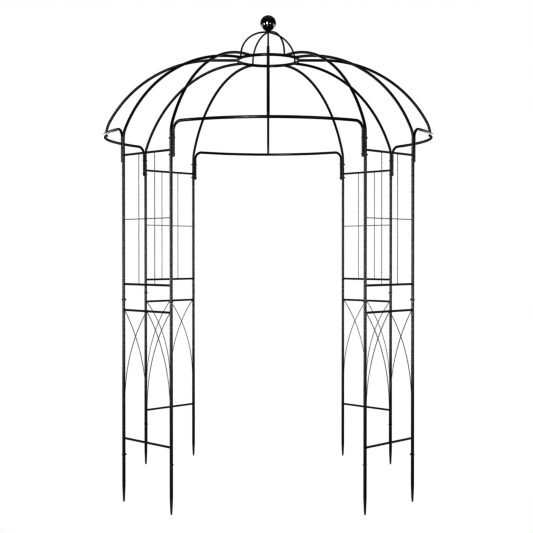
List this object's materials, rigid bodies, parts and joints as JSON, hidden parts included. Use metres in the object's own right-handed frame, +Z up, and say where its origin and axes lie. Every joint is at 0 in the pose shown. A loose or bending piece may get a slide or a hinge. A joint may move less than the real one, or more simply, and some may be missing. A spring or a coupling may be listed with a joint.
{
  "type": "garden arch gazebo",
  "caption": "Domed open-frame garden gazebo of black tubular steel: ladder panels on the diagonals, arched openings between them, ribs to a crown ring with a wire cage and ball finial.",
  "frame": {"origin": "on the gazebo's middle axis, at the level of the spike tips", "axes": "+Z up; the front opening faces -Y and the right opening faces +X"},
  "size_m": [1.9454, 1.9454, 2.7673],
  "materials": {
    "black_steel": "satin black powder coat",
    "polished_ball": "polished black"
  },
  "bodies": {
    "root": {"front_right_lower_panel": "black_steel", "front_right_upper_panel": "black_steel", "front_right_front_spike": "black_steel", "front_right_front_rib": "black_steel", "front_right_right_spike": "black_steel", "front_right_right_rib": "black_steel", "back_right_lower_panel": "black_steel", "back_right_upper_panel": "black_steel", "back_right_right_spike": "black_steel", "back_right_right_rib": "black_steel", "back_right_back_spike": "black_steel", "back_right_back_rib": "black_steel", "back_left_lower_panel": "black_steel", "back_left_upper_panel": "black_steel", "back_left_back_spike": "black_steel", "back_left_back_rib": "black_steel", "back_left_left_spike": "black_steel", "back_left_left_rib": "black_steel", "front_left_lower_panel": "black_steel", "front_left_upper_panel": "black_steel", "front_left_left_spike": "black_steel", "front_left_left_rib": "black_steel", "front_left_front_spike": "black_steel", "front_left_front_rib": "black_steel", "front_eave_bar": "black_steel", "front_middle_rib": "black_steel", "right_eave_bar": "black_steel", "right_middle_rib": "black_steel", "back_eave_bar": "black_steel", "back_middle_rib": "black_steel", "left_eave_bar": "black_steel", "left_middle_rib": "black_steel", "crown_ring": "black_steel", "finial_cage": "black_steel", "finial_ball": "polished_ball"}
  },
  "joints": []
}
